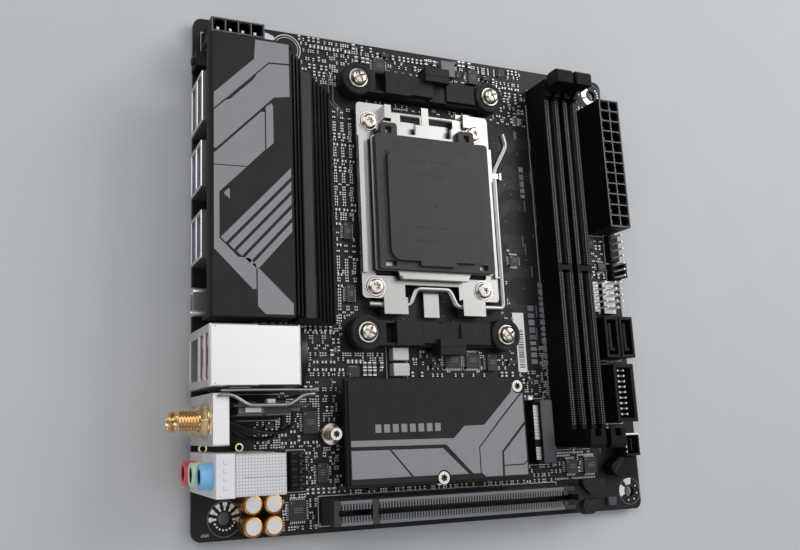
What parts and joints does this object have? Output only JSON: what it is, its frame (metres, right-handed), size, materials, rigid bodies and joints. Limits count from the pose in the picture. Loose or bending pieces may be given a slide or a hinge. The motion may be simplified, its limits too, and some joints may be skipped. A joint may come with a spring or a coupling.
{
  "type": "motherboard",
  "caption": "Small square desktop motherboard with processor socket, memory and expansion slots, finned power stage, storage heatsink and rear ports.",
  "frame": {"origin": "centre of the mounting hole at the rear, expansion slot corner, on the underside of the board", "axes": "+X from the rear connector edge to the front edge, +Y from the expansion slot edge to the processor power edge, +Z out of the component side"},
  "size_m": [0.1791, 0.17, 0.0375],
  "materials": {
    "board": "satin solder mask",
    "backplate": "powder coat",
    "tin": "bright tin",
    "socket_plastic": "moulded, fine texture",
    "gold": "gold plated",
    "stainless": "stamped and polished",
    "black_nylon": "moulded",
    "black_anodised": "black anodised",
    "shroud": "black paint with grey print",
    "thermal_pad": "soft, matte",
    "chip": "moulded epoxy",
    "choke": "pressed ferrite, grey",
    "capacitor": "bare can",
    "gold_sleeve": "gold lacquered can",
    "port_shell": "nickel plated",
    "port_plastic": "moulded",
    "card": "green solder mask",
    "cable": "black jacket",
    "audio_block": "light grey, textured",
    "jack": "coloured",
    "battery_sleeve": "shrink sleeve"
  },
  "bodies": {
    "board": {"pcb": "board", "backplate": "backplate", "solder_tails": "tin", "socket_base": "socket_plastic", "contact_field": "gold", "socket_frame": "stainless", "socket_screws": "stainless", "cooler_bracket_top": "black_nylon", "cooler_bracket_bottom": "black_nylon", "bracket_screws": "stainless", "vrm_heatsink": "black_anodised", "vrm_cover": "shroud", "vrm_thermal_pad": "thermal_pad", "power_stages": "chip", "chokes": "choke", "capacitors": "capacitor", "eps_connector": "black_nylon", "eps_pins": "tin", "atx_connector": "black_nylon", "atx_pins": "tin", "dimm_slot_1": "black_nylon", "dimm_slot_2": "black_nylon", "dimm_contacts": "gold", "pcie_slot": "black_nylon", "pcie_contacts": "gold", "m2_heatsink": "black_anodised", "m2_heatsink_screws": "stainless", "m2_thermal_pad": "thermal_pad", "m2_connector": "socket_plastic", "standoffs": "stainless", "chipset": "chip", "wifi_bracket": "port_shell", "wifi_card": "card", "wifi_socket": "black_nylon", "wifi_clip": "stainless", "antenna_sockets": "gold", "antenna_nuts": "gold", "antenna_leads": "cable", "audio_housing": "audio_block", "audio_jacks": "jack", "audio_capacitors": "gold_sleeve", "video_ports": "port_shell", "usb_stacks": "port_shell", "usb_c_port": "port_shell", "lan_usb_port": "port_shell", "port_tongues": "port_plastic", "flash_switch": "black_nylon", "cmos_battery": "battery_sleeve", "chips": "chip", "pin_headers": "black_nylon", "header_pins": "gold", "sata_connectors": "black_nylon", "front_connectors": "black_nylon"},
    "load_plate": {"load_plate": "stainless"},
    "load_lever": {"load_lever": "stainless"},
    "socket_cap": {"socket_cap": "socket_plastic"},
    "dimm_latch_1": {"dimm_latch_1": "black_nylon"},
    "dimm_latch_2": {"dimm_latch_2": "black_nylon"},
    "pcie_latch": {"pcie_latch": "black_nylon"},
    "flash_button": {"flash_button": "black_nylon"}
  },
  "joints": [
    {"name": "load_plate_hinge", "type": "hinge", "parent": "board", "child": "load_plate", "pos_m": [0.07384, 0.13585, 0.0064], "axis": [-1, 0, 0], "range_deg": [0, 100]},
    {"name": "load_lever_hinge", "type": "hinge", "parent": "board", "child": "load_lever", "pos_m": [0.07384, 0.06685, 0.0052], "axis": [1, 0, 0], "range_deg": [0, 110]},
    {"name": "socket_cap_lift", "type": "slide", "parent": "load_plate", "child": "socket_cap", "axis": [0, 0, 1], "range_m": [0, 0.007]},
    {"name": "dimm_latch_1_hinge", "type": "hinge", "parent": "board", "child": "dimm_latch_1", "pos_m": [0.12614, 0.15185, 0.006], "axis": [-1, 0, 0], "range_deg": [0, 26]},
    {"name": "dimm_latch_2_hinge", "type": "hinge", "parent": "board", "child": "dimm_latch_2", "pos_m": [0.13474, 0.15185, 0.006], "axis": [-1, 0, 0], "range_deg": [0, 26]},
    {"name": "pcie_latch_hinge", "type": "hinge", "parent": "board", "child": "pcie_latch", "pos_m": [0.12244, 0.0003, 0.0066], "axis": [0, 1, 0], "range_deg": [0, 12], "stiffness_Nm_per_rad": 0.02, "springref_deg": -5.73},
    {"name": "flash_button_press", "type": "slide", "parent": "board", "child": "flash_button", "axis": [1, 0, 0], "range_m": [0, 0.0005], "stiffness_N_per_m": 400, "springref_m": -0.001}
  ]
}
